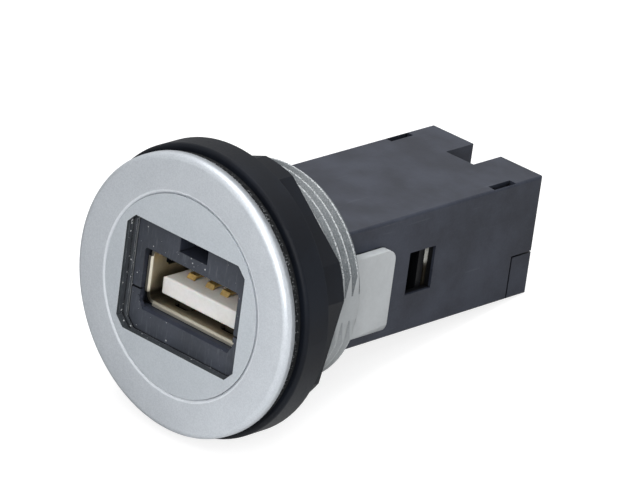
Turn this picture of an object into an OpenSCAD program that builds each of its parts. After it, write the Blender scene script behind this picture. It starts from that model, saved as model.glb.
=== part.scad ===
// Panel-mount USB coupler for a 22 mm panel hole: a round bezel with a threaded neck, a lock nut
// and a rectangular body that carries one A-type port at the front and one at the rear.
// The neck's axis is Y, the front faces -Y and +Z is up. The origin lies on the axis in the panel
// seat, which is the rear face of the gasket. All sizes are in millimetres.

/* [Bezel and neck] */
// Thread diameter of the neck
neck_d = 22; // [21:0.1:26]
// Wall of the neck between its thread and its bore
neck_wall = 1.05; // [0.8:0.05:1.5]
// Length of the neck behind the panel seat
neck_l = 11.7; // [9:0.1:13]
// Depth of the neck's two side flats
flat_depth = 0.55; // [0.2:0.05:0.8]
// Bevel at the rear end of the neck
neck_bevel = 0.6; // [0.2:0.1:0.8]
// How far the bezel stands out beyond the thread
bezel_rim = 2.9; // [2:0.1:5]
// Thickness of the bezel in front of the gasket
bezel_t = 1.2; // [1:0.1:2]
// Rounding of the bezel's front edge
bezel_edge_r = 0.6; // [0.2:0.1:0.8]
// Width of the bevel at the inner front edge of the bezel, around the face plate
seat_bevel_w = 0.35; // [0.1:0.05:0.6]
// Depth of that bevel
seat_bevel_t = 0.12; // [0.04:0.02:0.2]

/* [Side arms] */
// Thickness of each side arm
arm_t = 0.95; // [0.6:0.05:1.3]
// Height of each side arm
arm_h = 8.45; // [6:0.05:9.5]
// Drop of the middle of the arm below the axis
arm_drop = 0.5; // [0:0.05:1]
// How far the arm reaches past its latch window
arm_past = 0.65; // [0.4:0.05:2]
// Rounding of the arm's upper rear corner
arm_top_r = 1.2; // [0.4:0.1:2]
// Rounding of the arm's lower rear corner
arm_low_r = 0.6; // [0.2:0.1:2]
// How far the arm's latch nose reaches into the body
latch_depth = 0.6; // [0.3:0.05:0.8]
// Length of the latch nose
latch_l = 2.2; // [1:0.1:2.8]

/* [Front face] */
// How far the seat of the face plate is wider than the neck's bore
face_rim = 0.05; // [0.05:0.05:0.4]
// Gap around the face plate in its seat
face_gap = 0.02; // [0.01:0.01:0.1]
// Thickness of the face plate
face_t = 0.35; // [0.2:0.05:0.5]
// Gap between the body's sides and the edge of the opening in the face plate
opening_side = 0.35; // [0.2:0.05:0.6]
// How far the face plate covers the top and the bottom of the body
opening_over = 0.475; // [0.2:0.025:0.8]
// Corner cut of the opening
opening_cut = 1; // [0.6:0.1:1.6]
// Least rim of the face plate around its opening
opening_rim = 0.5; // [0.3:0.05:0.6]
// Thickness of the front frame behind the face plate
frame_t = 0.75; // [0.6:0.05:1.2]
// Thickness of the ledge at the back of the front frame
frame_ledge_t = 0.2; // [0.1:0.05:0.4]
// How far the ledge covers the sides of the body
frame_ledge_over = 0.1; // [0.05:0.05:0.4]
// Seam between the front frame and the body
frame_gap = 0.1; // [0.05:0.05:0.2]

/* [Gasket and nut] */
// How far the gasket stays inside the bezel's edge
gasket_in = 0.2; // [0:0.1:1.5]
// Thickness of the gasket
gasket_t = 0.9; // [0.5:0.1:1.5]
// Thickness of the nut's round flange
nut_flange_t = 2.95; // [1.5:0.05:4]
// Length of the six flats behind the flange
nut_flat_l = 3.85; // [2.5:0.05:4.5]
// Wall of the nut at the middle of its flats
nut_wall = 0.85; // [0.6:0.05:2]
// How far the turned corners stand out beyond the flats
nut_corner = 0.9; // [0.3:0.05:1.3]
// How far the flange stands out beyond the corners
nut_step = 1.6; // [0.5:0.05:3]
// Rounding of the nut's front edge
nut_edge_r = 0.4; // [0.2:0.05:1]
// Bevel at both ends of the nut's bore
nut_lead = 0.4; // [0.1:0.05:0.5]
// Turn of the nut as it stands
nut_turn = 40.5; // [0:0.5:59.5]
// Running clearance of the nut on the neck
nut_clear = 0.05; // [0.02:0.01:0.1]
// Gap between the gasket and the nut
nut_gap = 0.15; // [0.1:0.05:0.5]

/* [Body] */
// Length of the body
body_l = 41.3; // [38:0.1:48]
// Wall of the body beside the shell's lips
lips_wall = 0.75; // [0.6:0.05:0.8]
// Height of the body below the shell's lips
under_lips = 2.75; // [2:0.05:2.8]
// Room between the tails of the contacts and the top wall
tail_room = 0.83; // [0.3:0.01:1]
// Thickness of the side walls
wall_t = 0.85; // [0.6:0.05:0.9]
// Thickness of the top wall and of the floor
top_t = 1.1; // [0.8:0.05:1.3]
// Thickness of the end walls
end_t = 0.5; // [0.4:0.05:0.9]
// Rounding of the body's long edges
body_edge_r = 0.3; // [0.1:0.05:0.6]
// Rounding of the body's upright end corners
body_end_r = 0.2; // [0.1:0.05:0.8]
// Drop of the parting line of the end walls below the axis
part_drop = 1.75; // [1.5:0.05:2.2]
// Width of the seam between the upper housing and the lower base
part_gap = 0.2; // [0.1:0.05:0.3]
// Length of the end blocks of the lower base
end_block_l = 3.1; // [2.2:0.1:4]
// Width of the key notch above each port
key_w = 3.7; // [2.5:0.1:5]
// Length of the key notch in the top wall
key_l = 4.1; // [2:0.1:4.8]
// Height of the key notch's floor above the axis
key_up = 3.7; // [3.5:0.05:4]
// Wall around the key notch inside the housing
key_wall = 0.8; // [0.6:0.1:1]
// Distance from the body's middle to each side window
window_off = 2; // [1:0.1:3]
// Length of each side window
window_l = 3.7; // [3:0.1:4.5]
// Height of each side window
window_h = 4.5; // [3:0.1:5]
// Drop of the window's middle below the axis
window_drop = 0.15; // [0:0.05:0.5]
// Distance from the body's end to each slot in the top edges
slot_in = 3.9; // [3:0.1:6]
// Length of the slots in the top edges
slot_l = 3.2; // [2:0.1:4]
// Width of the slots in the top edges
slot_w = 0.85; // [0.75:0.05:1.2]
// Wall left beside the slots at the body's sides
slot_rim = 0.15; // [0.1:0.05:0.3]
// Depth of the slots in the top edges
slot_depth = 2; // [1.3:0.1:2.5]

/* [Ports] */
// Drop of the ports below the axis
port_drop = 0.64; // [0.4:0.02:0.8]
// How far the plug opening in the end walls reaches above the shell's inside
mouth_over = 0.6; // [0.2:0.02:0.8]
// How far the plug opening reaches below the shell's inside
mouth_under = 0.44; // [0.2:0.02:0.5]
// Rounding of the upper corners of the plug opening
mouth_r = 0.3; // [0.1:0.05:0.5]
// Corner cut of the lower corners of the plug opening
mouth_cut = 0.5; // [0.1:0.05:0.6]
// Width of the lead-in beside the plug opening
lead_side = 0.2; // [0.1:0.05:0.4]
// Depth of the lead-in below the plug opening
lead_low = 0.25; // [0.1:0.05:0.5]
// Height of the lead-in above the floor of the plug opening
lead_h = 1.15; // [0.6:0.05:1.2]
// Depth of the shell's lips behind the body's end face
lip_setback = 1.15; // [1:0.01:1.3]
// Inside width of the shell
shell_w = 12.5; // [12.4:0.02:12.6]
// Inside height of the shell
shell_h = 5.12; // [5:0.02:5.2]
// Sheet thickness of the shell
shell_t = 0.3; // [0.2:0.02:0.32]
// Length of the shell
shell_l = 14; // [13.5:0.1:14.4]
// Inside corner radius of the shell
shell_r = 0.5; // [0.2:0.05:0.8]
// Outward flare of the shell's lips
lip_flare = 0.15; // [0.1:0.01:0.3]
// Length of the flared lips
lip_l = 0.2; // [0.1:0.05:0.6]
// Gap between the lips at the shell's corners
lip_notch = 0.7; // [0.5:0.05:1]
// Width of the springs in the shell's floor and top
spring_w = 1.5; // [1:0.1:2]
// Gap beside each spring
spring_gap = 0.35; // [0.2:0.05:0.5]
// Gap in front of each spring
spring_front_gap = 0.7; // [0.3:0.05:1]
// Corner cut of the gap in front of each spring
spring_cut = 0.4; // [0.1:0.05:0.6]
// Depth of the springs' tips behind the lips
spring_start = 2; // [1.7:0.05:2.6]
// Length of the springs
spring_l = 6; // [4:0.1:6.5]
// Distance of the springs from the middle of the port
spring_x = 3.1; // [2.2:0.1:4]
// How far the springs bend into the port
spring_bend = 0.4; // [0.2:0.05:0.5]
// Length of the bent tip of the springs
spring_tip = 0.8; // [0.4:0.1:1.5]
// Width of the springs in the shell's sides
side_spring_w = 0.8; // [0.5:0.1:1]
// Depth of the side springs' tips behind the lips
side_spring_start = 2.75; // [1.7:0.05:3]
// Height of the side springs above the middle of the port
side_spring_up = 1.25; // [0:0.05:1.3]
// Width of the legs that hold the shell on the board
leg_w = 0.6; // [0.5:0.05:1.2]
// How far the legs stand back behind the shell
leg_back = 0.2; // [0:0.05:0.4]
// Height of the legs' lower end above the middle of the port
leg_low = 0.64; // [0.2:0.02:1]
// Gap between the tongue and the shell's sides
tongue_side = 0.7; // [0.6:0.05:0.8]
// Thickness of the tongue
tongue_t = 1.84; // [1.7:0.02:1.9]
// Gap between the tongue and the shell's floor
tongue_gap = 0.7; // [0.6:0.05:0.8]
// Depth of the tongue's front behind the lips
tongue_setback = 1; // [0.7:0.05:1.4]
// Length of the tongue
tongue_l = 8.9; // [8.4:0.1:9.2]
// Rounding of the tongue's long edges
tongue_r = 0.5; // [0.2:0.05:0.8]
// Rounding of the upper and lower edge of the tongue's front
tongue_front_r = 0.2; // [0.1:0.05:0.8]
// Rounding of the tongue's upright front corners
tongue_corner_r = 0.3; // [0.1:0.05:0.8]
// Width of each contact
contact_w = 1; // [0.8:0.05:1.2]
// Sheet thickness of the contacts
contact_t = 0.25; // [0.15:0.01:0.3]
// Depth of the contacts' ends behind the tongue's front
contact_in = 1.7; // [1:0.05:3]
// Pitch of the two inner contacts
inner_pitch = 2; // [1.9:0.05:2.2]
// Pitch of the two outer contacts
outer_pitch = 7; // [6.5:0.05:7.2]
// Height of the contact's hump above the tongue
hump_h = 0.42; // [0.2:0.02:0.6]
// Length of the hump's front slope
hump_rise = 0.3; // [0.2:0.05:0.8]
// Length of the hump's flat top
hump_l = 1.1; // [0.5:0.1:2]
// Gap between the block behind the tongue and the tails of the contacts
tail_gap = 0.8; // [0.6:0.05:1]
// Width of the tails of the contacts
tail_w = 0.6; // [0.4:0.05:0.8]
// How far the tails and legs stand up above the board
tail_over = 0.4; // [0.2:0.05:0.6]
// Gap between the rear of the block and the rear of the shell
block_in = 0.2; // [0.1:0.05:0.5]

/* [Circuit board] */
// Thickness of the circuit board
board_t = 1.6; // [1:0.1:1.6]
// Gap between the shells and the circuit board
board_gap = 0.1; // [0.05:0.01:0.2]
// Distance from the body's ends to the circuit board
board_in = 6.5; // [6:0.1:8]

/* [Ribs] */
// Thickness of the ribs under the shells
rib_t = 1; // [0.6:0.1:1.5]
// Width of the ribs under the shells
rib_w = 10.5; // [6:0.5:12]
// Thickness of the stops behind the shells
stop_t = 0.8; // [0.6:0.1:1.2]
// Gap between the stops and the outer contacts
stop_side = 0.45; // [0.3:0.05:0.8]
// Gap between the shells' legs and the stops
stop_gap = 0.15; // [0.1:0.05:0.3]

/* [Hidden] */
$fn = 96;

// Clearance between pieces that lie beside each other
fit_gap = 0.05;
// Overshoot of every cut past the face it leaves
cut = 1;

silver = [0.74, 0.76, 0.79];
slate = [0.28, 0.29, 0.33];
black = [0.15, 0.16, 0.17];
nickel = [0.72, 0.70, 0.64];
gold = [0.75, 0.58, 0.26];

// Places along the axis
front_y = -bezel_t - gasket_t;
frame_end_y = front_y + face_t + frame_t;
body_y = frame_end_y + frame_gap;
body_end_y = body_y + body_l;
body_middle_y = (body_y + body_end_y) / 2;
window_y = body_middle_y - window_off - window_l;
arm_end_y = window_y + window_l + arm_past;
nut_flat_y = nut_gap + nut_flange_t;
nut_end_y = nut_flat_y + nut_flat_l;

// Outside and inside of the shell, and its lips
shell_out_w = shell_w + 2 * shell_t;
shell_out_h = shell_h + 2 * shell_t;
lips_w = shell_out_w + 2 * lip_flare;
lips_h = shell_out_h + 2 * lip_flare;
tongue_w = shell_w - 2 * tongue_side;

// Heights
board_z = shell_h / 2 + shell_t + board_gap;
tail_up = board_z + board_t + tail_over;
body_bottom = -port_drop - lips_h / 2 - fit_gap - under_lips;
body_top = -port_drop + tail_up + tail_room + top_t;
body_h = body_top - body_bottom;
part_z = -part_drop;

// Radii
neck_r = neck_d / 2;
bore_r = neck_r - neck_wall;
bezel_r = neck_r + bezel_rim;
gasket_r = bezel_r - gasket_in;
seat_r = bore_r + face_rim;
plate_r = seat_r - face_gap;
nut_bore_r = neck_r + nut_clear;
nut_flat_r = nut_bore_r + nut_wall;
nut_corner_r = nut_flat_r + nut_corner;
nut_flange_r = nut_corner_r + nut_step;

// Sections of the body
body_w = lips_w + 2 * (fit_gap + lips_wall);
inside_w = body_w - 2 * wall_t;
arm_x = body_w / 2 + 2 * fit_gap;
opening_w = body_w + 2 * opening_side;
opening_h = body_h - 2 * opening_over;

// Places inside a port, counted from the lips
tongue_end = tongue_setback + tongue_l;
block_end = shell_l - block_in;
tongue_top = -shell_h / 2 + tongue_gap + tongue_t;
tail_y = block_end + tail_gap;
contact_start = tongue_setback + contact_in;
contact_x = [-outer_pitch / 2, -inner_pitch / 2, inner_pitch / 2, outer_pitch / 2];
leg_middle_y = shell_l + leg_back - leg_w / 2;
leg_x = (shell_w + shell_t) / 2;
end_face = -lip_setback;
mouth_w = shell_w;
mouth_low = -shell_h / 2 - mouth_under;
mouth_high = shell_h / 2 + mouth_over;

// Turns children drawn around Z so that they lie around Y
module around_y() {
    rotate([-90, 0, 0]) children();
}

// Extrudes an XZ section from y0 to y1
module section_y(y0, y1) {
    translate([0, y1, 0]) rotate([90, 0, 0]) linear_extrude(y1 - y0) children();
}

// Extrudes a YZ profile from x0 to x1
module profile_x(x0, x1) {
    translate([x0, 0, 0]) rotate([90, 0, 90]) linear_extrude(x1 - x0) children();
}

// Box between two corners
module box(low, high) {
    translate(low) cube(high - low);
}

// Rectangle with four round corners, low and high are opposite corners
module round_rect(low, high, r) {
    translate([low.x + r, low.y]) square([high.x - low.x - 2 * r, high.y - low.y]);
    translate([low.x, low.y + r]) square([high.x - low.x, high.y - low.y - 2 * r]);
    for (x = [low.x + r, high.x - r], y = [low.y + r, high.y - r]) translate([x, y]) circle(r);
}

// Rectangle with four cut corners, centred
module cut_rect(w, h, c) {
    polygon([
        [-w / 2 + c, -h / 2], [w / 2 - c, -h / 2], [w / 2, -h / 2 + c], [w / 2, h / 2 - c],
        [w / 2 - c, h / 2], [-w / 2 + c, h / 2], [-w / 2, h / 2 - c], [-w / 2, -h / 2 + c]
    ]);
}

// Half section of a disc with one rounded front edge, for turning
module rounded_disc(r, y0, y1, edge) {
    translate([0, y0]) square([r - edge, y1 - y0]);
    translate([0, y0 + edge]) square([r, y1 - y0 - edge]);
    translate([r - edge, y0 + edge]) circle(edge);
}

// Side view of one arm, from inside the neck to its rounded rear corners
module arm_outline() {
    low = -arm_drop - arm_h / 2;
    high = -arm_drop + arm_h / 2;
    translate([0, low]) square([arm_end_y - max(arm_top_r, arm_low_r), arm_h]);
    translate([0, low + arm_low_r]) square([arm_end_y, arm_h - arm_low_r - arm_top_r]);
    translate([arm_end_y - arm_low_r, low + arm_low_r]) circle(arm_low_r);
    translate([0, low]) square([arm_end_y - arm_low_r, arm_h / 2]);
    translate([arm_end_y - arm_top_r, high - arm_top_r]) circle(arm_top_r);
}

// Side arm on the right, with a latch nose that stands in the body's window
module arm() {
    nose_y = window_y + fit_gap;
    nose_h = window_h - 4 * fit_gap;
    profile_x(arm_x, arm_x + arm_t) arm_outline();
    translate([arm_x, nose_y, -window_drop - nose_h / 2]) linear_extrude(nose_h)
        polygon([[0, 0], [-latch_depth, 0], [0, latch_l]]);
}

// Silver moulding: bezel, threaded neck with two flats, and two side arms
module front_housing() {
    color(silver) {
        difference() {
            union() {
                around_y() rotate_extrude() rounded_disc(bezel_r, front_y, -gasket_t, bezel_edge_r);
                intersection() {
                    around_y() rotate_extrude() polygon([
                        [0, front_y + bezel_t / 2], [neck_r, front_y + bezel_t / 2],
                        [neck_r, neck_l - neck_bevel], [neck_r - neck_bevel, neck_l], [0, neck_l]
                    ]);
                    box([flat_depth - neck_r, front_y, -neck_r], [neck_r - flat_depth, neck_l, neck_r]);
                }
            }
            section_y(front_y - cut, neck_l + cut) intersection() {
                circle(bore_r);
                translate([-arm_x, -neck_d]) square([2 * arm_x, 2 * neck_d]);
            }
            section_y(front_y - cut, frame_end_y) circle(seat_r);
            around_y() translate([0, 0, front_y])
                cylinder(h = seat_bevel_t, r1 = seat_r + seat_bevel_w, r2 = seat_r);
        }
        arm();
        mirror([1, 0, 0]) arm();
    }
}

// Cut-cornered opening of the face, which leaves a rim of the round plate
module face_opening(w, h) {
    intersection() {
        cut_rect(w, h, opening_cut);
        circle(plate_r - opening_rim);
    }
}

// Thin silver plate inside the bezel, with the cut-cornered opening
module face_plate() {
    color(silver) section_y(front_y, front_y + face_t) difference() {
        circle(plate_r);
        face_opening(opening_w, opening_h);
    }
}

// Dark frame behind the face plate, with a narrow ledge around the front of the body
module front_frame() {
    pocket_h = opening_h + 6 * fit_gap;
    color(slate) {
        section_y(front_y + face_t, frame_end_y - frame_ledge_t) difference() {
            circle(plate_r);
            face_opening(opening_w, pocket_h);
        }
        section_y(frame_end_y - frame_ledge_t, frame_end_y) difference() {
            circle(plate_r);
            face_opening(body_w - 2 * frame_ledge_over, pocket_h);
        }
    }
}

// Black rubber ring between the bezel and the panel
module panel_gasket() {
    color(black) around_y() translate([0, 0, -gasket_t]) linear_extrude(gasket_t) difference() {
        circle(gasket_r);
        circle(neck_r + 2 * fit_gap);
    }
}

// Black lock nut: a round flange in front and six flats with turned corners behind it
module lock_nut() {
    hex_l = nut_flat_l + nut_flange_t / 2;
    color(black) around_y() difference() {
        union() {
            rotate_extrude() rounded_disc(nut_flange_r, nut_gap, nut_flat_y, nut_edge_r);
            translate([0, 0, nut_end_y - hex_l]) intersection() {
                cylinder(h = hex_l, r = nut_corner_r);
                rotate(nut_turn) cylinder(h = hex_l, r = nut_flat_r / cos(30), $fn = 6);
            }
        }
        translate([0, 0, nut_gap - cut]) cylinder(h = nut_end_y - nut_gap + 2 * cut, r = nut_bore_r);
        translate([0, 0, nut_gap]) cylinder(h = nut_lead, r1 = nut_bore_r + nut_lead, r2 = nut_bore_r);
        translate([0, 0, nut_end_y - nut_lead])
            cylinder(h = nut_lead, r1 = nut_bore_r, r2 = nut_bore_r + nut_lead);
    }
}

// Whole outer form of the body, as one block that passes through the neck's bore
module body_block() {
    intersection() {
        section_y(body_y, body_end_y) intersection() {
            round_rect([-body_w / 2, body_bottom], [body_w / 2, body_top], body_edge_r);
            circle(bore_r - fit_gap);
        }
        translate([0, 0, body_bottom - cut]) linear_extrude(body_h + 2 * cut)
            round_rect([-body_w / 2, body_y], [body_w / 2, body_end_y], body_end_r);
    }
}

// Places children drawn from the lips inwards at the front port
module at_front() {
    translate([0, body_y + lip_setback, -port_drop]) children();
}

// The same at the rear port, turned to face the rear
module at_rear() {
    translate([0, body_end_y - lip_setback, -port_drop]) mirror([0, 1, 0]) children();
}

// Places children at both ports
module at_both() {
    at_front() children();
    at_rear() children();
}

// Plug opening of one end wall, with round upper corners and cut lower corners
module mouth_outline() {
    half_w = mouth_w / 2;
    round_rect([-half_w, 0], [half_w, mouth_high], mouth_r);
    polygon([
        [-half_w + mouth_cut, mouth_low], [half_w - mouth_cut, mouth_low], [half_w, mouth_low + mouth_cut],
        [half_w, mouth_r], [-half_w, mouth_r], [-half_w, mouth_low + mouth_cut]
    ]);
}

// Lead-in around the lower part of the plug opening, which narrows through the end wall
module lead_in() {
    over = 1 + cut / end_t;
    half_w = mouth_w / 2;
    wide = half_w + lead_side * over;
    low = mouth_low - lead_low * over;
    top = mouth_low + lead_h;
    intersection() {
        profile_x(-wide, wide) polygon([
            [end_face - cut, low], [end_face + end_t, mouth_low],
            [end_face + end_t, top], [end_face - cut, top]
        ]);
        translate([0, 0, low]) linear_extrude(top - low) polygon([
            [-wide, end_face - cut], [wide, end_face - cut],
            [half_w, end_face + end_t], [-half_w, end_face + end_t]
        ]);
        section_y(end_face - cut, end_face + end_t) polygon([
            [-half_w - lead_side, top], [mouth_cut - half_w, mouth_low - lead_low],
            [mouth_cut - half_w, low], [half_w - mouth_cut, low],
            [half_w - mouth_cut, mouth_low - lead_low], [half_w + lead_side, top]
        ]);
    }
}

// Plug opening and the room that the shell takes in the housing
module port_room() {
    lips_x = lips_w / 2 + fit_gap;
    lips_z = lips_h / 2 + fit_gap;
    shell_x = shell_out_w / 2 + fit_gap;
    shell_z = shell_out_h / 2 + fit_gap;
    section_y(end_face - cut, 0) mouth_outline();
    lead_in();
    box([-lips_x, end_face + end_t, -lips_z], [lips_x, lip_l + fit_gap, lips_z]);
    box([-shell_x, 0, -shell_z], [shell_x, shell_l + fit_gap, shell_z]);
}

// Repeats children drawn at the front end of the body at its rear end
module both_ends() {
    children();
    translate([0, 2 * body_middle_y, 0]) mirror([0, 1, 0]) children();
}

// Repeats children drawn on the right side on the left side
module both_sides() {
    children();
    mirror([1, 0, 0]) children();
}

// Key notch in the top wall at the front end
module key_notch() {
    box([-key_w / 2, body_y - cut, key_up], [key_w / 2, body_y + key_l, body_top + cut]);
}

// Walls that close the key notch inside the housing
module key_walls() {
    half_w = key_w / 2 + key_wall;
    box([-half_w, body_y + end_t / 2, key_up - key_wall],
        [half_w, body_y + key_l + key_wall, body_top - top_t / 2]);
}

// Stop on the right side wall, behind the leg of the front shell
module shell_stop() {
    stop_x = (outer_pitch + contact_w) / 2 + stop_side;
    stop_y = body_y + lip_setback + shell_l + leg_back + stop_gap;
    box([stop_x, stop_y, body_bottom + top_t + fit_gap],
        [(inside_w + wall_t) / 2, stop_y + stop_t, board_z - board_gap - port_drop]);
}

// Window in the right side wall and slot in the right top edge, at the front end
module side_cuts() {
    slot_x = body_w / 2 - slot_rim;
    slot_y = body_y + slot_in;
    box([inside_w / 2, window_y, -window_drop - window_h / 2],
        [body_w, window_y + window_l, -window_drop + window_h / 2]);
    box([slot_x - slot_w, slot_y, body_top - slot_depth], [slot_x, slot_y + slot_l, body_top + cut]);
}

// Upper housing: top wall, both side walls and the upper half of both end walls
module upper_housing() {
    color(slate) difference() {
        union() {
            difference() {
                body_block();
                box([-inside_w / 2, body_y + end_t, body_bottom - cut],
                    [inside_w / 2, body_end_y - end_t, body_top - top_t]);
            }
            both_ends() {
                key_walls();
                both_sides() shell_stop();
            }
        }
        for (y = [body_y - cut, body_end_y - end_block_l])
            box([-body_w, y, body_bottom - cut], [body_w, y + end_block_l + cut, part_z]);
        at_both() port_room();
        both_ends() {
            key_notch();
            both_sides() side_cuts();
        }
    }
}

// Lower base: floor between the side walls, an end block under each port and ribs under the shells
module lower_base() {
    floor_w = inside_w - 2 * fit_gap;
    floor_top = body_bottom + top_t;
    block_l = end_block_l - part_gap;
    color(slate) difference() {
        union() {
            intersection() {
                body_block();
                union() {
                    box([-floor_w / 2, body_y, body_bottom], [floor_w / 2, body_end_y, floor_top]);
                    for (y = [body_y - cut, body_end_y - block_l])
                        box([-body_w, y, body_bottom - cut], [body_w, y + block_l + cut, part_z - part_gap]);
                }
            }
            at_both() for (y = [shell_l / 2, shell_l - 2 * rib_t])
                box([-rib_w / 2, y, floor_top + port_drop - fit_gap],
                    [rib_w / 2, y + rib_t, -shell_out_h / 2]);
        }
        at_both() port_room();
    }
}

// Circuit board above the two ports, with holes for the contact tails and notches for the legs
module circuit_board() {
    hole_r = norm([tail_w, contact_t]) / 2 + 2 * fit_gap;
    board_w = inside_w - 4 * fit_gap;
    color([0.10, 0.32, 0.20]) difference() {
        box([-board_w / 2, body_y + board_in, board_z - port_drop],
            [board_w / 2, body_end_y - board_in, board_z - port_drop + board_t]);
        at_both() for (x = contact_x)
            translate([x, tail_y + contact_t / 2, 0]) cylinder(h = tail_up + cut, r = hole_r);
        at_both() for (side = [-1, 1])
            translate([side * leg_x, leg_middle_y, 0])
                box([-shell_t / 2 - 2 * fit_gap - cut / 2, -leg_w / 2 - 2 * fit_gap, 0],
                    [shell_t / 2 + 2 * fit_gap + cut / 2, leg_w / 2 + 2 * fit_gap, tail_up + cut]);
    }
}

// Section of the shell's inside, which may be grown by a sheet thickness
module shell_section(grow) {
    half_w = shell_w / 2 + grow;
    half_h = shell_h / 2 + grow;
    round_rect([-half_w, -half_h], [half_w, half_h], shell_r + grow);
}

// Flared lip of one wall, drawn for a wall whose inside lies at z = 0 and whose outside is below
module lip(length) {
    profile_x(-length / 2, length / 2) polygon([
        [0, -lip_flare - shell_t], [lip_l, -shell_t], [lip_l + shell_t, -shell_t], [lip_l + shell_t, 0],
        [lip_l, 0], [0, -lip_flare]
    ]);
}

// Gap in the sheet around one spring whose tip lies at the depth start, drawn like the lip
module spring_gap_cut(width, start) {
    side = width / 2 + spring_gap;
    front = start - spring_front_gap;
    end = start + spring_l;
    translate([0, 0, -shell_t - cut / 2]) linear_extrude(shell_t + cut) polygon([
        [-side, end], [-side, front + spring_cut], [-side + spring_cut, front],
        [side - spring_cut, front], [side, front + spring_cut], [side, end]
    ]);
}

// Spring finger that is held at its rear end and bends into the shell near the mouth
module spring(width, start) {
    bend_y = start + spring_tip;
    end = start + spring_l;
    profile_x(-width / 2, width / 2) polygon([
        [start, -shell_t], [bend_y, spring_bend - shell_t], [end, -shell_t],
        [end + shell_t, -shell_t], [end + shell_t, 0], [end, 0],
        [bend_y, spring_bend], [start, 0]
    ]);
}

// Places children drawn for the lip's wall on the floor and the top of the shell
module on_floor_and_top() {
    translate([0, 0, -shell_h / 2]) children();
    mirror([0, 0, 1]) translate([0, 0, -shell_h / 2]) children();
}

// The same on both side walls, with a shift upwards
module on_sides(up) {
    for (side = [-1, 1]) rotate([0, side * 90, 0]) translate([-side * up, 0, -shell_w / 2]) children();
}

// Pressed metal shell of one port with flared lips, springs and two board legs
module shell() {
    color(nickel) {
        difference() {
            section_y(lip_l, shell_l) difference() {
                shell_section(shell_t);
                shell_section(0);
            }
            on_floor_and_top() for (x = [-spring_x, spring_x])
                translate([x, 0, 0]) spring_gap_cut(spring_w, spring_start);
            on_sides(side_spring_up) spring_gap_cut(side_spring_w, side_spring_start);
        }
        on_floor_and_top() {
            lip(shell_w - 2 * lip_notch);
            for (x = [-spring_x, spring_x]) translate([x, 0, 0]) spring(spring_w, spring_start);
        }
        on_sides(0) lip(shell_h - 2 * lip_notch);
        on_sides(side_spring_up) spring(side_spring_w, side_spring_start);
        for (side = [-1, 1]) translate([side * leg_x, leg_middle_y, 0])
            box([-shell_t / 2, -leg_w / 2, leg_low], [shell_t / 2, leg_w / 2, tail_up]);
    }
}

// Room that one contact takes in the insulator, from its start on the tongue to the block's rear
module contact_room() {
    box([-contact_w / 2 - fit_gap / 2, contact_start - fit_gap, tongue_top - contact_t - fit_gap / 2],
        [contact_w / 2 + fit_gap / 2, block_end + cut, tongue_top + fit_gap / 2]);
}

// White insulator: the tongue inside the port and the block that closes the shell's rear
module insulator() {
    half_w = shell_w / 2 - fit_gap;
    half_h = shell_h / 2 - fit_gap;
    tongue_in = tongue_end + 2 * tongue_r;
    color("white") difference() {
        union() {
            intersection() {
                profile_x(-tongue_w / 2, tongue_w / 2) round_rect(
                    [tongue_setback, tongue_top - tongue_t], [tongue_in, tongue_top], tongue_front_r);
                translate([0, 0, -shell_h]) linear_extrude(2 * shell_h) round_rect(
                    [-tongue_w / 2, tongue_setback], [tongue_w / 2, tongue_in], tongue_corner_r);
                section_y(tongue_setback, tongue_in) round_rect(
                    [-tongue_w / 2, tongue_top - tongue_t], [tongue_w / 2, tongue_top], tongue_r);
            }
            section_y(tongue_end, block_end)
                round_rect([-half_w, -half_h], [half_w, half_h], shell_r);
        }
        for (x = contact_x) translate([x, 0, 0]) contact_room();
        for (x = contact_x) translate([x, 0, 0])
            box([-contact_w / 2 - fit_gap / 2, contact_start, tongue_top - fit_gap],
                [contact_w / 2 + fit_gap / 2, tongue_end + fit_gap, tongue_top + hump_h]);
    }
}

// Gold contact: a strip with a hump on the tongue, which leaves the block and turns up to the board
module contact(x) {
    hump_y = contact_start + hump_rise;
    fall_y = hump_y + hump_l;
    flat_y = tongue_end - contact_w;
    tail_end = tail_y + contact_t;
    top = tongue_top;
    hump = tongue_top + hump_h;
    color(gold) translate([x, 0, 0]) {
        profile_x(-contact_w / 2, contact_w / 2) polygon([
            [contact_start, top], [hump_y, hump], [fall_y, hump], [flat_y, top], [tail_end, top],
            [tail_end, top - contact_t], [flat_y, top - contact_t], [fall_y, hump - contact_t],
            [hump_y, hump - contact_t], [contact_start, top - contact_t]
        ]);
        box([-contact_w / 2, tail_y, top - contact_t], [contact_w / 2, tail_end, shell_h / 2]);
        box([-tail_w / 2, tail_y, 0], [tail_w / 2, tail_end, tail_up]);
    }
}

front_housing();
face_plate();
front_frame();
panel_gasket();
lock_nut();
upper_housing();
lower_base();
circuit_board();
at_front() shell();  // front_shell
at_front() insulator();  // front_insulator
at_front() contact(contact_x[0]);  // front_contact_1
at_front() contact(contact_x[1]);  // front_contact_2
at_front() contact(contact_x[2]);  // front_contact_3
at_front() contact(contact_x[3]);  // front_contact_4
at_rear() shell();  // rear_shell
at_rear() insulator();  // rear_insulator
at_rear() contact(contact_x[0]);  // rear_contact_1
at_rear() contact(contact_x[1]);  // rear_contact_2
at_rear() contact(contact_x[2]);  // rear_contact_3
at_rear() contact(contact_x[3]);  // rear_contact_4
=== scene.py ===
import math

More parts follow.
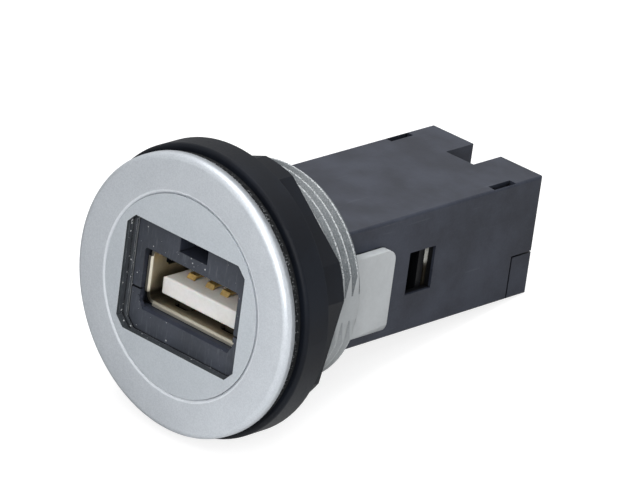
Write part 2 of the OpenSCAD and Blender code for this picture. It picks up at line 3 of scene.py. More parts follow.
import bmesh
import bpy
from mathutils import Euler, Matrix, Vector


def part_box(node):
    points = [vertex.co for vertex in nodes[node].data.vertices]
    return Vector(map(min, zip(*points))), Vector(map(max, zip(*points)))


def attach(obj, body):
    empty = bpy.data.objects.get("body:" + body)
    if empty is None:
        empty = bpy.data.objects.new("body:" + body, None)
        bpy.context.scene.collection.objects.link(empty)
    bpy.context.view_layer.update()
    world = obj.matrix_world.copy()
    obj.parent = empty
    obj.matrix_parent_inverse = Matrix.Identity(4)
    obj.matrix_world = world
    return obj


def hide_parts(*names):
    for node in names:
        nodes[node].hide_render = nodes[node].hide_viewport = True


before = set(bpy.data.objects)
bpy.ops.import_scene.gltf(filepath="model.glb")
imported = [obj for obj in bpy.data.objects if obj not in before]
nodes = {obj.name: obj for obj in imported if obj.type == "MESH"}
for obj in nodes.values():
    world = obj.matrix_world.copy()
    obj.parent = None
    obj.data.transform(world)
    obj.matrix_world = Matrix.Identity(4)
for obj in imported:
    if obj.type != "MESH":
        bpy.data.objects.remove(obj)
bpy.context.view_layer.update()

MM = 0.001
scene = bpy.context.scene

housing_node = nodes["front_housing"]
above_arms = 6 * MM
neck_points = [v.co for v in housing_node.data.vertices if abs(v.co.z) > above_arms and v.co.y > 0]
neck_r = max(math.hypot(p.x, p.z) for p in neck_points)
neck_end = max(p.y for p in neck_points)
same_point = 1e-7
smooth_below = math.radians(32)
thread_pitch = 1.0 * MM
thread_depth = 0.47 * MM
thread_start = 0.28 * MM
groove_top = 0.88 * MM
groove_root = 0.2 * MM
groove_over = 0.4 * MM
steps_per_turn = 112


def merged(mesh):
    """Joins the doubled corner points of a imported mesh, so that its faces hang together."""
    work = bmesh.new()
    work.from_mesh(mesh)
    bmesh.ops.remove_doubles(work, verts=work.verts, dist=same_point)
    work.to_mesh(mesh)
    work.free()
    return mesh


def thread_cutter():
    """Helical bar whose section is the gap between two crests of the thread."""
    root = neck_r - thread_depth
    section = [
        (root, -groove_root / 2), (root, groove_root / 2), (neck_r, groove_top / 2),
        (neck_r + groove_over, groove_top / 2), (neck_r + groove_over, -groove_top / 2),
        (neck_r, -groove_top / 2),
    ]
    turns = (neck_end + thread_pitch - thread_start) / thread_pitch
    rings = []
    work = bmesh.new()
    for i in range(int(turns * steps_per_turn) + 1):
        angle = 2 * math.pi * i / steps_per_turn
        along = thread_start + thread_pitch * i / steps_per_turn
        rings.append([
            work.verts.new((r * math.sin(angle), along + y, r * math.cos(angle))) for r, y in section
        ])
    for one, two in zip(rings, rings[1:]):
        for k in range(len(section)):
            work.faces.new((one[k - 1], one[k], two[k], two[k - 1]))
    work.faces.new(rings[0])
    work.faces.new(rings[-1])
    bmesh.ops.recalc_face_normals(work, faces=work.faces)
    mesh = bpy.data.meshes.new("thread_cutter")
    work.to_mesh(mesh)
    work.free()
    return bpy.data.objects.new("thread_cutter", mesh)


threaded_housing = bpy.data.objects.new("threaded_housing", merged(housing_node.data.copy()))
cutter = thread_cutter()
for piece in (threaded_housing, cutter):
    scene.collection.objects.link(piece)
groove = threaded_housing.modifiers.new("groove", "BOOLEAN")
groove.operation = "DIFFERENCE"
groove.solver = "EXACT"
groove.object = cutter
bpy.context.view_layer.update()
cut_mesh = bpy.data.meshes.new_from_object(
    threaded_housing.evaluated_get(bpy.context.evaluated_depsgraph_get())
)
threaded_housing.modifiers.clear()
threaded_housing.data = cut_mesh
bpy.data.objects.remove(cutter)
cut_mesh.polygons.foreach_set("use_smooth", [True] * len(cut_mesh.polygons))
cut_mesh.set_sharp_from_angle(angle=smooth_below)
flat_faces = threaded_housing.modifiers.new("flat_faces", "WEIGHTED_NORMAL")
flat_faces.keep_sharp = True


def colour(hex_code):
    """Linear colour of a hex code as it is read off a screen."""
    parts = [int(hex_code[i:i + 2], 16) / 255 for i in (1, 3, 5)]
    return [c / 12.92 if c <= 0.04045 else ((c + 0.055) / 1.055) ** 2.4 for c in parts] + [1]


def place(tree, kind, inputs=(), **settings):
    """Adds a node, sets its own settings, and fills or links its inputs by name or number."""
    made = tree.nodes.new(kind)
    for key, value in settings.items():
        setattr(made, key, value)
    for key, value in dict(inputs).items():
        if isinstance(value, bpy.types.NodeSocket):
            tree.links.new(value, made.inputs[key])
        else:
            made.inputs[key].default_value = value
    return made


def new_group(name, inputs, outputs):
    """Empty shader node group: returns its tree and the nodes that hold its inputs and outputs."""
    tree = bpy.data.node_groups.new(name, "ShaderNodeTree")
    for label, kind, value in inputs:
        socket = tree.interface.new_socket(label, in_out="INPUT", socket_type="NodeSocket" + kind)
        socket.default_value = value
    for label, kind in outputs:
        tree.interface.new_socket(label, in_out="OUTPUT", socket_type="NodeSocket" + kind)
    return tree, tree.nodes.new("NodeGroupInput"), tree.nodes.new("NodeGroupOutput")


def blended(tree, factor, one, two):
    """Mix of two colours by a factor."""
    return place(tree, "ShaderNodeMix", {0: factor, 6: one, 7: two}, data_type="RGBA").outputs[2]


def math_of(tree, operation, *values, clamp=False):
    """Result of one math node."""
    made = place(tree, "ShaderNodeMath", dict(enumerate(values)), operation=operation, use_clamp=clamp)
    return made.outputs[0]


def ramp(tree, value, low, high):
    """Maps a value from low to high on to the range from 0 to 1."""
    made = place(tree, "ShaderNodeMapRange", {0: value, 1: low, 2: high}, interpolation_type="SMOOTHSTEP")
    return made.outputs[0]


def over(tree, base, mask, share, hex_code):
    """Lays a colour over another one where a mask shows, at most by the share."""
    return blended(tree, math_of(tree, "MULTIPLY", mask, share), base, colour(hex_code))


def object_point(tree):
    """Where a point of the surface lies on its piece."""
    return place(tree, "ShaderNodeTexCoord").outputs["Object"]


def by_axis(tree, vector):
    """The three parts of a vector."""
    return place(tree, "ShaderNodeSeparateXYZ", {0: vector}).outputs


def per_metre(tree, per_mm):
    """A count for each millimetre as one for each metre."""
    return math_of(tree, "MULTIPLY", per_mm, 1 / MM)


def noise(tree, where, scale, detail, roughness=0.5):
    """Soft noise with about that many lumps for each metre."""
    inputs = {"Vector": where, "Scale": scale, "Detail": detail, "Roughness": roughness}
    return place(tree, "ShaderNodeTexNoise", inputs).outputs[0]


def fine_grain():
    """Grain of a moulded or lacquered skin: a tint between two colours, and a height."""
    tree, given, result = new_group(
        "fine_grain",
        [("Grain per mm", "Float", 6.0), ("Clouds per mm", "Float", 0.12), ("Cloud share", "Float", 0.5),
         ("Dark", "Color", (0, 0, 0, 1)), ("Light", "Color", (1, 1, 1, 1))],
        [("Tint", "Color"), ("Height", "Float")],
    )
    where = object_point(tree)
    grain = noise(tree, where, per_metre(tree, given.outputs["Grain per mm"]), 2.0)
    clouds = noise(tree, where, per_metre(tree, given.outputs["Clouds per mm"]), 4.0, 0.6)
    fine, broad = ramp(tree, grain, 0.25, 0.75), ramp(tree, clouds, 0.3, 0.7)
    levels = {0: given.outputs["Cloud share"], 2: fine, 3: broad}
    share = place(tree, "ShaderNodeMix", levels, data_type="FLOAT").outputs[0]
    tint = blended(tree, share, given.outputs["Dark"], given.outputs["Light"])
    tree.links.new(tint, result.inputs["Tint"])
    tree.links.new(grain, result.inputs["Height"])
    return tree


def edge_wear_and_highlight():
    """Mask of the sharp edges of a piece, broken up by noise, for wear and for a painted edge highlight."""
    tree, given, result = new_group(
        "edge_wear_and_highlight", [("Width", "Float", 0.15 * MM), ("Breaks per mm", "Float", 1.5)], [("Mask", "Float")]
    )
    flat = place(tree, "ShaderNodeNewGeometry").outputs["Normal"]
    round_off = place(tree, "ShaderNodeBevel", {"Radius": given.outputs["Width"]}, samples=6).outputs[0]
    compared = place(tree, "ShaderNodeVectorMath", {0: flat, 1: round_off}, operation="DOT_PRODUCT")
    turned_away = math_of(tree, "SUBTRACT", 1.0, compared.outputs["Value"])
    edge = math_of(tree, "MULTIPLY", turned_away, 4.0, clamp=True)
    breaks = noise(tree, object_point(tree), per_metre(tree, given.outputs["Breaks per mm"]), 3.0)
    mask = math_of(tree, "MULTIPLY", edge, ramp(tree, breaks, 0.3, 0.65))
    tree.links.new(mask, result.inputs["Mask"])
    return tree


def dust_specks():
    """Mask of loose pale dust: a few round specks in a grid of cells."""
    tree, given, result = new_group(
        "dust_specks", [("Cells per mm", "Float", 1.2), ("Share", "Float", 0.05), ("Size", "Float", 0.12)],
        [("Mask", "Float")],
    )
    scale = per_metre(tree, given.outputs["Cells per mm"])
    cells = place(tree, "ShaderNodeTexVoronoi", {"Vector": object_point(tree), "Scale": scale})
    drawn = place(tree, "ShaderNodeSeparateColor", {0: cells.outputs["Color"]})
    chosen = math_of(tree, "LESS_THAN", drawn.outputs[0], given.outputs["Share"])
    size = math_of(tree, "MULTIPLY", drawn.outputs[1], given.outputs["Size"])
    near = math_of(tree, "LESS_THAN", cells.outputs["Distance"], size)
    tree.links.new(math_of(tree, "MULTIPLY", chosen, near), result.inputs["Mask"])
    return tree


grain_group = fine_grain()
edge_wear_and_highlight_group = edge_wear_and_highlight()
dust_group = dust_specks()


def new_material(name):
    """Empty material: returns it, its tree and its Principled shader."""
    made = bpy.data.materials.new(name)
    made.use_nodes = True
    return made, made.node_tree, made.node_tree.nodes["Principled BSDF"]


def grouped(tree, group, **inputs):
    """Places a shared node group, with its inputs named in words joined by underscores."""
    named = {key.replace("_", " "): value for key, value in inputs.items()}
    return place(tree, "ShaderNodeGroup", named, node_tree=group).outputs


def roughened(tree, shader, height, spread, smoothest):
    """Lets the roughness follow a height, upward from its smoothest value."""
    tree.links.new(math_of(tree, "MULTIPLY_ADD", height, spread, smoothest), shader.inputs["Roughness"])


def embossed(tree, shader, height, depth):
    """Gives the surface a small relief of that depth."""
    bump = place(tree, "ShaderNodeBump", {"Height": height, "Distance": depth})
    tree.links.new(bump.outputs[0], shader.inputs["Normal"])


def dress(piece, finish):
    """Gives a piece one finish on all its faces."""
    for slot in piece.material_slots:
        slot.link = "DATA"
        slot.material = finish


def about_axis(tree):
    """Where a point of the surface lies, by axis, and its distance from the middle line of the neck."""
    axes = by_axis(tree, object_point(tree))
    across = place(tree, "ShaderNodeCombineXYZ", {0: axes["X"], 1: axes["Z"]}).outputs[0]
    return axes, place(tree, "ShaderNodeVectorMath", {0: across}, operation="LENGTH").outputs["Value"]


def squareness(tree, axis):
    """How squarely a face looks along an axis, either way, from 0 to 1."""
    normal = place(tree, "ShaderNodeNewGeometry").outputs["True Normal"]
    return math_of(tree, "ABSOLUTE", by_axis(tree, normal)[axis])


flake_relief = 0.005 * MM


def lacquered(tree, dark, light):
    """Silver lacquer: flakes in a grey coat, paler on the edges for wear and a painted edge highlight."""
    flakes = grouped(tree, grain_group, Grain_per_mm=7.0, Clouds_per_mm=0.2, Cloud_share=0.25,
                     Dark=colour(dark), Light=colour(light))
    edges = grouped(tree, edge_wear_and_highlight_group, Width=0.12 * MM, Breaks_per_mm=1.0)
    return over(tree, flakes["Tint"], edges["Mask"], 0.4, "#e4e7ea"), flakes["Height"]


bezel_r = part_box("front_housing")[1].x
bezel_rounding = 0.9 * MM
bezel_rear = -0.9 * MM
bezel_metal = 0.7
plate_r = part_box("face_plate")[1].x
seam_middle = plate_r + 0.18 * MM
seam_half = 0.2 * MM
crest_depth = 0.08 * MM
rim_width = 0.2 * MM
rim_edge = 0.05 * MM
lit_from = 3 * MM
lit_below = -6 * MM
flat_facing = 0.999


def housing_finish():
    """Silver lacquer in front of the panel with painted light on the seam; a grainy thread in painted shade
    with painted highlights on crests and rim and painted light lower down; bare flats and arms.
    """
    made, tree, shader = new_material("silver_housing")
    axes, radius = about_axis(tree)
    lacquer, flakes = lacquered(tree, "#b0b5bb", "#c2c7cc")
    # Painted light: the seam band round the face plate is laid paler and less metallic, to lighten the shade
    # in the bevel of its seat.
    seam = math_of(tree, "COMPARE", radius, seam_middle, seam_half)
    seam_painted_light = over(tree, lacquer, seam, 0.4, "#dfe3e8")
    # Painted shade: the thread takes a dark tint for the shade in its grooves. Painted highlights lie on the
    # crests and on the rim at the neck's end, broken up by the grain.
    shaded_thread = grouped(tree, grain_group, Grain_per_mm=9.0, Clouds_per_mm=0.5, Cloud_share=0.2,
                    Dark=colour("#3f4447"), Light=colour("#6a6f72"))
    plain = grouped(tree, grain_group, Grain_per_mm=3.0, Clouds_per_mm=0.25, Cloud_share=0.7,
                    Dark=colour("#abafb1"), Light=colour("#b8bcbe"))
    crest_highlight = ramp(tree, radius, neck_r - crest_depth, neck_r)
    rim_highlight = ramp(tree, axes["Y"], neck_end - rim_width, neck_end - rim_edge)
    glints = ramp(tree, shaded_thread["Height"], 0.35, 0.6)
    crests_highlighted = over(tree, shaded_thread["Tint"], math_of(tree, "MAXIMUM", crest_highlight, rim_highlight), glints, "#bcc0c2")
    grit = grouped(tree, dust_group, Cells_per_mm=9.0, Share=0.4, Size=0.5)
    thread = over(tree, crests_highlighted, grit["Mask"], 0.16, "#c9cdcf")
    # Painted light: lower down the thread turns back toward the pale tint, where it faces the white sheet.
    low = math_of(tree, "MULTIPLY", ramp(tree, axes["Z"], lit_from, lit_below), 0.75)
    lower_lit = blended(tree, low, thread, plain["Tint"])
    # The flats are the pale tint with 30 % of the thread's painted shade.
    flat_tint = blended(tree, 0.3, plain["Tint"], shaded_thread["Tint"])
    on_flat = math_of(tree, "GREATER_THAN", squareness(tree, "X"), flat_facing)
    neck = blended(tree, on_flat, lower_lit, flat_tint)
    on_arm = math_of(tree, "GREATER_THAN", axes["Y"], neck_end)
    bare = blended(tree, on_arm, neck, plain["Tint"])
    behind = math_of(tree, "GREATER_THAN", axes["Y"], bezel_rear)
    tree.links.new(blended(tree, behind, seam_painted_light, bare), shader.inputs["Base Color"])
    coated = math_of(tree, "MULTIPLY_ADD", behind, -bezel_metal, bezel_metal)
    metal = math_of(tree, "MULTIPLY_ADD", seam, -bezel_metal, coated, clamp=True)
    tree.links.new(metal, shader.inputs["Metallic"])
    roughened(tree, shader, flakes, 0.15, 0.4)
    rounding = ramp(tree, radius, bezel_r - bezel_rounding, bezel_r)
    coarser = math_of(tree, "MULTIPLY_ADD", rounding, 4.0, 1.0)
    embossed(tree, shader, math_of(tree, "MULTIPLY", flakes, coarser), flake_relief)
    return made


dress(threaded_housing, housing_finish())
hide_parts("front_housing")
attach(threaded_housing, "coupler")


# Face plate: thin round plate with the cut-cornered opening, set flush into the bezel.
# It has the bezel's silver lacquer, a little duller, and is glued into its seat.
plate_metal = 0.3
opening_reach = plate_r - 0.3 * MM


def plate_finish():
    """Silver lacquer with less metal in it than the bezel's, and dark plastic on the edge of the opening."""
    made, tree, shader = new_material("silver_plate")
    lacquer, flakes = lacquered(tree, "#a8aeb4", "#b8bec3")
    radius = about_axis(tree)[1]
    inner = math_of(tree, "LESS_THAN", radius, opening_reach)
    sideways = math_of(tree, "LESS_THAN", squareness(tree, "Y"), 0.5)
    cut_edge = math_of(tree, "MULTIPLY", inner, sideways)
    bare = grouped(tree, grain_group, Grain_per_mm=4.0, Clouds_per_mm=0.5, Cloud_share=0.5,
                   Dark=colour("#2b2f32"), Light=colour("#3c4144"))
    tree.links.new(blended(tree, cut_edge, lacquer, bare["Tint"]), shader.inputs["Base Color"])
    metal = math_of(tree, "MULTIPLY_ADD", cut_edge, -plate_metal, plate_metal)
    tree.links.new(metal, shader.inputs["Metallic"])
    roughened(tree, shader, flakes, 0.2, 0.4)
    embossed(tree, shader, flakes, flake_relief)
    return made


dress(nodes["face_plate"], plate_finish())


# Front frame, upper housing and lower base: dark slate mouldings of a stiff engineering plastic.
# The frame closes the gap behind the face plate, the base snaps into the housing from below.
# Their satin skin shows faint clouds and fine scratches, with pale dust in the recess round the port.
base_low, base_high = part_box("lower_base")
body_low, body_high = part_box("upper_housing")
body_low.z = base_low.z
recess_floor = body_low.y + 0.1 * MM
inside_margin = Vector((0.3, 4.5, 0.3)) * MM
inside_shift = Vector((0, 1.6, 0)) * MM
inside_half = (body_high - body_low) / 2 - inside_margin
inside_middle = (body_high + body_low) / 2 - inside_shift
corner_reach = 0.3 * MM
pocket_reach = 1.6 * MM


def openness(tree, reach):
    """How open the space before a surface is within that reach, from 0 to 1."""
    return place(tree, "ShaderNodeAmbientOcclusion", {"Distance": reach}, samples=8).outputs["AO"]


def slate_finish(name, dark, light, streaks, wear_and_highlight, wear_and_highlight_colour):
    """Satin slate plastic: clouds, scratches, paler edges for wear and a painted edge highlight, painted
    shade in corners and pockets, a dusty recess, and a painted dark inside.
    """
    made, tree, shader = new_material(name)
    where = object_point(tree)
    axes = by_axis(tree, where)
    skin = grouped(tree, grain_group, Grain_per_mm=4.0, Clouds_per_mm=0.16, Cloud_share=0.75,
                   Dark=colour(dark), Light=colour(light))
    # Paler edges: wear, and a painted edge highlight.
    edges = grouped(tree, edge_wear_and_highlight_group, Width=0.14 * MM, Breaks_per_mm=0.8)
    pale = over(tree, skin["Tint"], edges["Mask"], wear_and_highlight, wear_and_highlight_colour)
    turned = place(tree, "ShaderNodeMapping", {0: where, "Rotation": (0.4, 0.7, 0.3), "Scale": (1, 0.06, 1)})
    hair = noise(tree, turned.outputs[0], 2.2 / MM, 2.0)
    scratched = over(tree, pale, ramp(tree, hair, 0.66, 0.74), 0.05, "#83888f")
    in_recess = math_of(tree, "LESS_THAN", axes["Y"], recess_floor)
    upright = place(tree, "ShaderNodeMapping", {0: where, "Scale": (1, 1, 0.12)})
    wipes = noise(tree, upright.outputs[0], 3.5 / MM, 3.0)
    wiped = math_of(tree, "MULTIPLY_ADD", ramp(tree, wipes, 0.55, 0.75), streaks, 0.08)
    streaked = over(tree, scratched, wiped, in_recess, "#9ba0a3")
    dust = grouped(tree, dust_group, Cells_per_mm=4.2, Share=0.08, Size=0.42)
    dusty = over(tree, streaked, dust["Mask"], in_recess, "#b4b6b8")
    # Painted shade: corners, gaps and deep pockets darken by how closed in they are, and the inside of the
    # body is laid near black.
    corner_shade = ramp(tree, openness(tree, corner_reach), 0.8, 0.45)
    pocket_shade = ramp(tree, openness(tree, pocket_reach), 0.45, 0.25)
    painted_shade = math_of(tree, "MAXIMUM", corner_shade, pocket_shade)
    inside = [math_of(tree, "COMPARE", axes[k], inside_middle[k], inside_half[k]) for k in range(3)]
    inside_shade_mask = math_of(tree, "MULTIPLY", math_of(tree, "MULTIPLY", inside[0], inside[1]), inside[2])
    shaded_inside = blended(tree, math_of(tree, "MAXIMUM", painted_shade, inside_shade_mask), dusty, colour("#0a0b0d"))
    tree.links.new(shaded_inside, shader.inputs["Base Color"])
    roughened(tree, shader, skin["Height"], 0.16, 0.36)
    embossed(tree, shader, skin["Height"], 0.004 * MM)
    shader.inputs["Specular IOR Level"].default_value = 0.15
    return made


body_slate = slate_finish("slate_plastic_body", "#20232c", "#363a45", 0.1, 0.06, "#7a8088")
frame_slate = slate_finish("slate_plastic_frame", "#22252a", "#31353b", 0.15, 0.7, "#a9adb0")
for name in ("upper_housing", "lower_base"):
    dress(nodes[name], body_slate)
dress(nodes["front_frame"], frame_slate)


# Panel gasket: flat ring of black rubber between the bezel and the panel.
# It is stamped from sheet, so its edge is grainy and holds fine dust, most of it next to the bezel.
gasket_low, gasket_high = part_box("panel_gasket")


def rubber_finish():
    """Dull black rubber with a grainy skin and fine pale dust along the bezel."""
    made, tree, shader = new_material("gasket_rubber")
    skin = grouped(tree, grain_group, Grain_per_mm=5.0, Clouds_per_mm=0.6, Cloud_share=0.4,
                   Dark=colour("#08090a"), Light=colour("#17191b"))
    dust = grouped(tree, dust_group, Cells_per_mm=7.0, Share=0.6, Size=0.55)
    depth = by_axis(tree, object_point(tree))["Y"]
    by_bezel = ramp(tree, depth, gasket_high.y, gasket_low.y)
    dusty = over(tree, skin["Tint"], dust["Mask"], by_bezel, "#9a9d9f")
    tree.links.new(dusty, shader.inputs["Base Color"])
    roughened(tree, shader, skin["Height"], 0.2, 0.68)
    embossed(tree, shader, skin["Height"], 0.05 * MM)
    shader.inputs["Specular IOR Level"].default_value = 0.15
    return made


dress(nodes["panel_gasket"], rubber_finish())


# Lock nut: black nylon nut with a round flange and six flats, moulded in one piece.
# It runs on the neck's thread and clamps the panel against the gasket.
def nut_finish():
    """Satin black nylon with faint clouds, paler edges for wear and a painted edge highlight, and a few
    specks.
    """
    made, tree, shader = new_material("black_nylon")
    skin = grouped(tree, grain_group, Grain_per_mm=4.0, Clouds_per_mm=0.14, Cloud_share=0.7,
                   Dark=colour("#0b0d12"), Light=colour("#12161d"))
    # Paler edges: wear, and a painted edge highlight.
    edges = grouped(tree, edge_wear_and_highlight_group, Width=0.2 * MM, Breaks_per_mm=0.6)
    dust = grouped(tree, dust_group, Cells_per_mm=0.7, Share=0.01, Size=0.14)
    pale = over(tree, skin["Tint"], edges["Mask"], 0.4, "#34363a")
    dusty = blended(tree, dust["Mask"], pale, colour("#c9cacb"))
    tree.links.new(dusty, shader.inputs["Base Color"])
    roughened(tree, shader, skin["Height"], 0.15, 0.42)
    embossed(tree, shader, skin["Height"], 0.005 * MM)
    shader.inputs["Specular IOR Level"].default_value = 0.1
    return made


dress(nodes["lock_nut"], nut_finish())


# Circuit board: small board of green glass laminate above the two ports.
# It joins the contact tails of one port to those of the other and carries the legs of the shells.
def board_finish():
    """Green solder mask over the weave of the glass cloth."""
    made, tree, shader = new_material("board_laminate")
    cloth = place(tree, "ShaderNodeTexChecker", {"Vector": object_point(tree), "Scale": 2.4 / MM})
    weave = cloth.outputs["Fac"]
    skin = grouped(tree, grain_group, Grain_per_mm=3.0, Clouds_per_mm=0.2, Cloud_share=0.5,
                   Dark=colour("#0f3b22"), Light=colour("#1b5533"))
    tree.links.new(over(tree, skin["Tint"], weave, 0.12, "#2f6b48"), shader.inputs["Base Color"])
    roughened(tree, shader, skin["Height"], 0.15, 0.3)
    embossed(tree, shader, weave, 0.004 * MM)
    return made


dress(nodes["circuit_board"], board_finish())


# Port shells: thin steel sheet, pressed and folded to a box, nickel plated.
# Flared lips lead the plug in, cut-out spring fingers grip it, and two legs sit in the board.
front_low, front_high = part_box("front_shell")
rear_low, rear_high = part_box("rear_shell")
leg_room = 0.85 * MM
lip_length = 0.3 * MM
legs_middle = (front_high.y + rear_low.y) / 2
legs_reach = (rear_low.y - front_high.y) / 2 + leg_room
lips_reach = rear_high.y - legs_middle - lip_length
tin_from = -0.6 * MM
tin_above = 0.4 * MM
lip_corner_sides = front_high.x - 1.2 * MM, front_high.x - 0.6 * MM
lip_corner_foot = front_low.z + 1.6 * MM, front_low.z + 1.0 * MM
shade_reach_deep = 1.5 * MM
shade_reach_corner = 1.0 * MM


def nickel_finish():
    """Warm nickel plate with rolling lines, paler edges for wear and a painted edge highlight, pale rubbed
    lips, painted shade in hollows and in the lower corners, and tinned legs.
    """
    made, tree, shader = new_material("nickel_plate")
    where = object_point(tree)
    axes = by_axis(tree, where)
    skin = grouped(tree, grain_group, Grain_per_mm=2.0, Clouds_per_mm=0.35, Cloud_share=0.7,
                   Dark=colour("#b3a98f"), Light=colour("#d2cab6"))
    # Paler edges: wear, and a painted edge highlight.
    edges = grouped(tree, edge_wear_and_highlight_group, Width=0.08 * MM, Breaks_per_mm=1.2)
    bright = over(tree, skin["Tint"], edges["Mask"], 0.6, "#f1eee6")
    # Painted shade: deep hollows and inner corners of the shell darken by how closed in they are.
    deep_shade = ramp(tree, openness(tree, shade_reach_deep), 0.6, 0.25)
    corner_shade = ramp(tree, openness(tree, shade_reach_corner), 0.9, 0.65)
    hollows_shaded = over(tree, bright, math_of(tree, "MAXIMUM", deep_shade, corner_shade), 0.65, "#4a3f2f")
    by_board = ramp(tree, axes["Z"], tin_from, tin_above)
    by_legs = math_of(tree, "COMPARE", axes["Y"], legs_middle, legs_reach)
    tinned = math_of(tree, "MULTIPLY", by_legs, by_board)
    rubbed = math_of(tree, "SUBTRACT", 1.0, math_of(tree, "COMPARE", axes["Y"], legs_middle, lips_reach))
    dull = math_of(tree, "MAXIMUM", tinned, math_of(tree, "MULTIPLY", rubbed, 0.35))
    plated = blended(tree, dull, hollows_shaded, colour("#dcdcd4"))
    # Painted shade: the shell's two lower corners are laid dark along its length, for the shade behind the
    # lips.
    side = ramp(tree, math_of(tree, "ABSOLUTE", axes["X"]), *lip_corner_sides)
    foot = ramp(tree, axes["Z"], *lip_corner_foot)
    lip_corners_shaded = over(tree, plated, math_of(tree, "MULTIPLY", side, foot), 0.85, "#2a241a")
    tree.links.new(lip_corners_shaded, shader.inputs["Base Color"])
    tree.links.new(math_of(tree, "MULTIPLY_ADD", dull, -0.8, 0.95), shader.inputs["Metallic"])
    rolled = place(tree, "ShaderNodeMapping", {0: where, "Scale": (0.08, 1, 1)})
    lines = noise(tree, rolled.outputs[0], 9 / MM, 2.0)
    roughened(tree, shader, lines, 0.22, 0.24)
    embossed(tree, shader, lines, 0.003 * MM)
    return made


nickel = nickel_finish()
for name in ("front_shell", "rear_shell"):
    dress(nodes[name], nickel)


# Insulators: white nylon mouldings, each a tongue inside its port and a block behind it.
# They slide into the shells from the rear and hold the four contacts.
def nylon_finish():
    """Slightly warm white nylon with a soft satin skin."""
    made, tree, shader = new_material("white_nylon")
    skin = grouped(tree, grain_group, Grain_per_mm=3.0, Clouds_per_mm=0.3, Cloud_share=0.7,
                   Dark=colour("#d9d8d5"), Light=colour("#e9e8e6"))
    tree.links.new(skin["Tint"], shader.inputs["Base Color"])
    roughened(tree, shader, skin["Height"], 0.15, 0.38)
    embossed(tree, shader, skin["Height"], 0.004 * MM)
    shader.inputs["Subsurface Weight"].default_value = 0.15
    shader.inputs["Subsurface Scale"].default_value = 0.4 * MM
    return made


nylon = nylon_finish()
for name in ("front_insulator", "rear_insulator"):
    dress(nodes[name], nylon)


# Contacts: four stamped bronze strips in each port, gold plated where the plug touches them.
# Each runs along the tongue, passes the block and turns up into the circuit board.
def gold_finish():
    """Gold plate with duller brown patches, as thin plating over nickel shows."""
    made, tree, shader = new_material("gold_plate")
    skin = grouped(tree, grain_group, Grain_per_mm=6.0, Clouds_per_mm=0.8, Cloud_share=0.6,
                   Dark=colour("#a98a4c"), Light=colour("#d9bd82"))
    tree.links.new(skin["Tint"], shader.inputs["Base Color"])
    shader.inputs["Metallic"].default_value = 0.8
    roughened(tree, shader, skin["Height"], 0.25, 0.22)
    embossed(tree, shader, skin["Height"], 0.004 * MM)
    return made


gold = gold_finish()
for end in ("front", "rear"):
    for number in range(1, 5):
        dress(nodes[f"{end}_contact_{number}"], gold)


# Studio: a white sheet under the part, which lies on the nut's flange and on the body's rear edge.
# The sheet is tilted to those two lines, so that the part keeps its own frame.
# Soft light comes from a pale sky, a large lamp above and two smaller ones in front and at the right.
white = (1, 1, 1, 1)
flange_back = 3.1 * MM
flange_rear = Vector((0, flange_back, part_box("lock_nut")[0].z))
body_rear = Vector((0, base_high.y, base_low.z))
tilt = math.atan2(body_rear.z - flange_rear.z, body_rear.y - flange_rear.y)
sheet_half = 3.0
sheet_drop = 0.02 * MM
sheet_mesh = bpy.data.meshes.new("white_sheet")
sheet_mesh.from_pydata(
    [(x * sheet_half, y * sheet_half, 0) for x, y in ((-1, -1), (1, -1), (1, 1), (-1, 1))],
    [], [(0, 1, 2, 3)]
)
sheet = bpy.data.objects.new("white_sheet", sheet_mesh)
scene.collection.objects.link(sheet)
sheet.location = flange_rear - Vector((0, 0, sheet_drop))
sheet.rotation_euler = (tilt, 0, 0)

paper_grey = (0.35, 0.35, 0.35, 1)
paper_lift = 0.8
mirror_slant = -0.98
mirror_from = 0.0
mirror_full = 15 * MM


def straight_rays(tree):
    """Light paths, and a mask of the rays that come straight from the camera or through clear parts."""
    path = place(tree, "ShaderNodeLightPath").outputs
    return path, math_of(tree, "MAXIMUM", path["Is Camera Ray"], path["Is Transmission Ray"])


def sheet_finish():
    """Paper: grey as it lights the part, white to the camera and in mirror images of its right side,
    and clear from below."""
    made, tree, shader = new_material("white_paper")
    shader.inputs["Base Color"].default_value = paper_grey
    shader.inputs["Roughness"].default_value = 0.9
    shader.inputs["Specular IOR Level"].default_value = 0.0
    path, straight = straight_rays(tree)
    spot = by_axis(tree, object_point(tree))
    # Painted light: in mirror images the sheet is white toward the right and the front, and grey toward the
    # left.
    ahead = math_of(tree, "MINIMUM", spot["Y"], 0.0)
    to_right = math_of(tree, "MULTIPLY_ADD", ahead, mirror_slant, spot["X"])
    lit_side = ramp(tree, to_right, mirror_from, mirror_full)
    mirrored = math_of(tree, "MULTIPLY", path["Is Glossy Ray"], lit_side)
    seen = math_of(tree, "MAXIMUM", straight, mirrored)
    lift = place(tree, "ShaderNodeEmission", {"Color": white, "Strength": paper_lift})
    lifted = place(tree, "ShaderNodeAddShader", {0: shader.outputs[0], 1: lift.outputs[0]})
    paper = place(tree, "ShaderNodeMixShader", {0: seen, 1: shader.outputs[0], 2: lifted.outputs[0]})
    below = place(tree, "ShaderNodeNewGeometry").outputs["Backfacing"]
    clear = place(tree, "ShaderNodeBsdfTransparent")
    both = place(tree, "ShaderNodeMixShader", {0: below, 1: paper.outputs[0], 2: clear.outputs[0]})
    tree.links.new(both.outputs[0], tree.nodes["Material Output"].inputs["Surface"])
    return made


sheet_mesh.materials.append(sheet_finish())

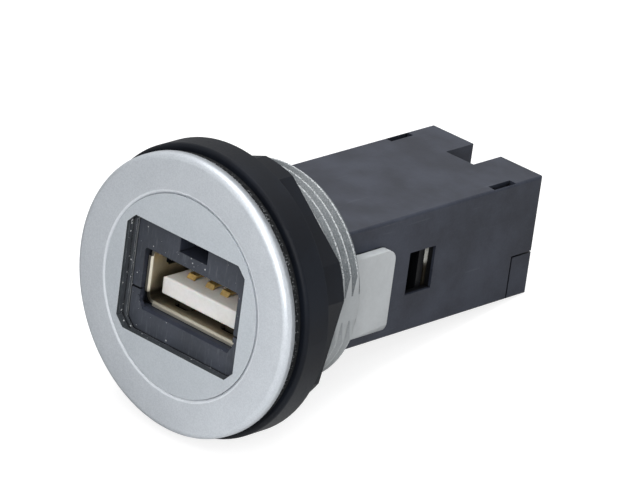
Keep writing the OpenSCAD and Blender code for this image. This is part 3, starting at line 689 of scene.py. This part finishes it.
world = bpy.data.worlds.new("pale_sky")
scene.world = world
world.use_nodes = True
sky = world.node_tree
sky.nodes.clear()
height = by_axis(sky, place(sky, "ShaderNodeTexCoord").outputs["Generated"])["Z"]
dome = place(sky, "ShaderNodeMapRange", {0: height, 1: -0.4, 2: 0.8, 3: 0.2, 4: 0.6}).outputs[0]
sky_path, straight_sky = straight_rays(sky)
shown_sky = math_of(sky, "MAXIMUM", straight_sky, sky_path["Is Glossy Ray"])
seen_sky = place(sky, "ShaderNodeBackground", {"Color": white, "Strength": 1.0})
lit_sky = place(sky, "ShaderNodeBackground", {"Color": (0.97, 0.98, 1.0, 1), "Strength": dome})
both_skies = place(
    sky, "ShaderNodeMixShader", {0: shown_sky, 1: lit_sky.outputs[0], 2: seen_sky.outputs[0]}
)
place(sky, "ShaderNodeOutputWorld", {0: both_skies.outputs[0]})


def soft_lamp(name, spot, target, size, power):
    """Square soft box at a spot, turned to a target."""
    light = bpy.data.lights.new(name, "AREA")
    light.size = size
    light.energy = power
    lamp = bpy.data.objects.new(name, light)
    lamp.location = spot
    lamp.rotation_euler = (Vector(target) - Vector(spot)).to_track_quat("-Z", "Y").to_euler()
    scene.collection.objects.link(lamp)


part_middle = (0, 15 * MM, 0)
bezel_middle = (0, -2 * MM, 0)
soft_lamp("top_box", (0.0, 0.05, 0.45), part_middle, size=0.4, power=1.7)
soft_lamp("front_box", (0.03, -0.3, 0.06), bezel_middle, size=0.15, power=0.1)
soft_lamp("right_box", (0.06, -0.062, 0.045), bezel_middle, size=0.06, power=0.073)


# Camera: a long lens that looks at the part from the front right and from above.
# It is rolled, because the part lies tilted on the sheet and keeps its own frame here.
look_azimuth = math.radians(40.609)
look_elevation = math.radians(22.781)
look_roll = math.radians(7.808)
look_distance = 512.893 * MM
look_target = Vector((0.957 * MM, 15.822 * MM, 2.282 * MM))
camera_data = bpy.data.cameras.new("photo_camera")
camera_data.sensor_width = 36.0
camera_data.lens = 299.08
camera_data.clip_start = 0.01
camera_data.clip_end = 20.0
camera = bpy.data.objects.new("photo_camera", camera_data)
scene.collection.objects.link(camera)
back = Vector((
    math.sin(look_azimuth) * math.cos(look_elevation),
    -math.cos(look_azimuth) * math.cos(look_elevation),
    math.sin(look_elevation),
))
camera.location = look_target + back * look_distance
camera.rotation_mode = "QUATERNION"
level = (-back).to_track_quat("-Z", "Y")
camera.rotation_quaternion = level @ Euler((0, 0, look_roll)).to_quaternion()
scene.camera = camera
scene.view_settings.view_transform = "Standard"
